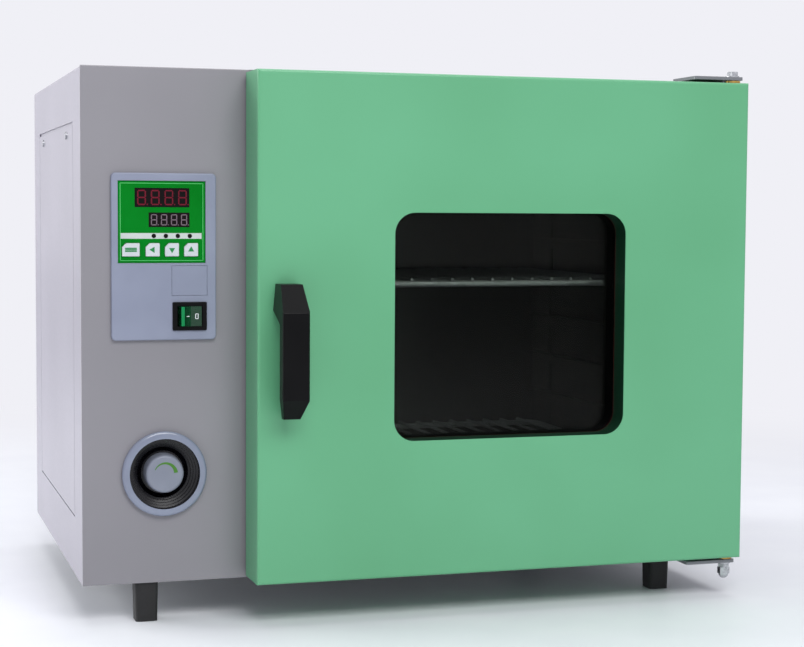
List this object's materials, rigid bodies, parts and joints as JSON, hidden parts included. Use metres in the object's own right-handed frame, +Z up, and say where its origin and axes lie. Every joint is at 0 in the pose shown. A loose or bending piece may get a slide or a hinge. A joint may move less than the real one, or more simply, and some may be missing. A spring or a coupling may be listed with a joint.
{
  "type": "drying cabinet",
  "caption": "Bench drying cabinet: insulated chamber, windowed hinged door with turn-lever latch, control column with controller, rocker switch and vent knob, wire shelves.",
  "frame": {"origin": "centre of the bounding box's bottom face, on the surface the feet stand on", "axes": "+X to the right as seen from the front, +Y towards the back, +Z up"},
  "size_m": [0.6218, 0.506, 0.5022],
  "materials": {
    "body_paint": "satin",
    "shell_paint": "satin",
    "door_paint": "satin",
    "plated_sheet": "satin",
    "stainless_sheet": "satin",
    "bright_steel": "polished",
    "bracket_paint": "satin",
    "motor_paint": "satin",
    "fan_metal": "satin",
    "sink_metal": "matte",
    "mineral_wool": "matte",
    "pane_glass": "polished",
    "bush_brass": "satin",
    "silicone": "matte",
    "black_rubber": "matte",
    "black_plastic": "satin",
    "bezel_plastic": "satin",
    "ring_plastic": "gloss",
    "green_face": "satin",
    "dark_window": "gloss",
    "key_plastic": "satin",
    "rocker_plastic": "gloss"
  },
  "bodies": {
    "cabinet": {"casing_wrap": "shell_paint", "access_cover": "shell_paint", "column_panel": "body_paint", "front_frame": "body_paint", "base_plate": "plated_sheet", "feet": "black_rubber", "rear_panel": "shell_paint", "partition_panel": "plated_sheet", "chamber_liner": "stainless_sheet", "chamber_insulation": "mineral_wool", "duct_panel": "stainless_sheet", "shelf_rail_left": "stainless_sheet", "shelf_rail_right": "stainless_sheet", "heater_element": "bright_steel", "sensor_probe": "bright_steel", "fan_motor": "motor_paint", "vent_duct": "plated_sheet", "vent_port": "black_plastic", "vent_ring": "ring_plastic", "control_bezel": "bezel_plastic", "blanking_plate": "bezel_plastic", "controller_case": "black_plastic", "controller_overlay": "green_face", "display_upper": "dark_window", "display_lower": "dark_window", "indicator_lamps": "dark_window", "switch_frame": "black_plastic", "door_gasket": "silicone", "hinge_bracket_upper": "bracket_paint", "hinge_bracket_lower": "bracket_paint", "hinge_pin_upper": "bright_steel", "hinge_pin_lower": "bright_steel", "striker_plate": "bracket_paint", "latch_pocket": "plated_sheet", "cable_gland": "black_plastic", "solid_state_relay": "sink_metal", "casing_screws": "bright_steel"},
    "door": {"door_skin": "door_paint", "door_liner": "stainless_sheet", "door_insulation": "mineral_wool", "window_seal": "black_rubber", "outer_glass": "pane_glass", "glass_spacer": "black_plastic", "inner_glass": "pane_glass", "hinge_bushes": "bush_brass", "latch_bush": "bush_brass"},
    "handle": {"door_handle": "black_plastic", "latch_shaft": "bright_steel"},
    "damper": {"vent_knob": "bezel_plastic", "damper_shaft": "bright_steel", "damper_shutter": "plated_sheet"},
    "fan": {"fan_shaft": "bright_steel", "fan_impeller": "fan_metal"},
    "upper_shelf": {"shelf_upper": "bright_steel"},
    "lower_shelf": {"shelf_lower": "bright_steel"},
    "power_rocker": {"switch_rocker": "rocker_plastic"},
    "menu_button": {"key_menu": "key_plastic"},
    "left_button": {"key_left": "key_plastic"},
    "down_button": {"key_down": "key_plastic"},
    "up_button": {"key_up": "key_plastic"}
  },
  "joints": [
    {"name": "door_hinge", "type": "hinge", "parent": "cabinet", "child": "door", "pos_m": [0.3, -0.2, 0.265], "axis": [0, 0, 1], "range_deg": [0, 120]},
    {"name": "handle_turn", "type": "hinge", "parent": "door", "child": "handle", "pos_m": [-0.1385, -0.215, 0.2935], "axis": [0, -1, 0], "range_deg": [0, 90]},
    {"name": "damper_turn", "type": "hinge", "parent": "cabinet", "child": "damper", "pos_m": [-0.2374, -0.162, 0.134], "axis": [0, -1, 0], "range_deg": [0, 90]},
    {"name": "fan_spin", "type": "hinge", "parent": "cabinet", "child": "fan", "pos_m": [-0.093, -0.002, 0.265], "axis": [1, 0, 0], "continuous": true},
    {"name": "upper_shelf_slide", "type": "slide", "parent": "cabinet", "child": "upper_shelf", "axis": [0, -1, 0], "range_m": [-0.015, 0.01]},
    {"name": "lower_shelf_slide", "type": "slide", "parent": "cabinet", "child": "lower_shelf", "axis": [0, -1, 0], "range_m": [-0.015, 0.01]},
    {"name": "rocker_tilt", "type": "hinge", "parent": "cabinet", "child": "power_rocker", "pos_m": [-0.2148, -0.1652, 0.2745], "axis": [0, 0, -1], "range_deg": [0, 20]},
    {"name": "menu_press", "type": "slide", "parent": "cabinet", "child": "menu_button", "axis": [0, 1, 0], "range_m": [0, 0.0005], "stiffness_N_per_m": 600},
    {"name": "left_press", "type": "slide", "parent": "cabinet", "child": "left_button", "axis": [0, 1, 0], "range_m": [0, 0.0005], "stiffness_N_per_m": 600},
    {"name": "down_press", "type": "slide", "parent": "cabinet", "child": "down_button", "axis": [0, 1, 0], "range_m": [0, 0.0005], "stiffness_N_per_m": 600},
    {"name": "up_press", "type": "slide", "parent": "cabinet", "child": "up_button", "axis": [0, 1, 0], "range_m": [0, 0.0005], "stiffness_N_per_m": 600}
  ]
}
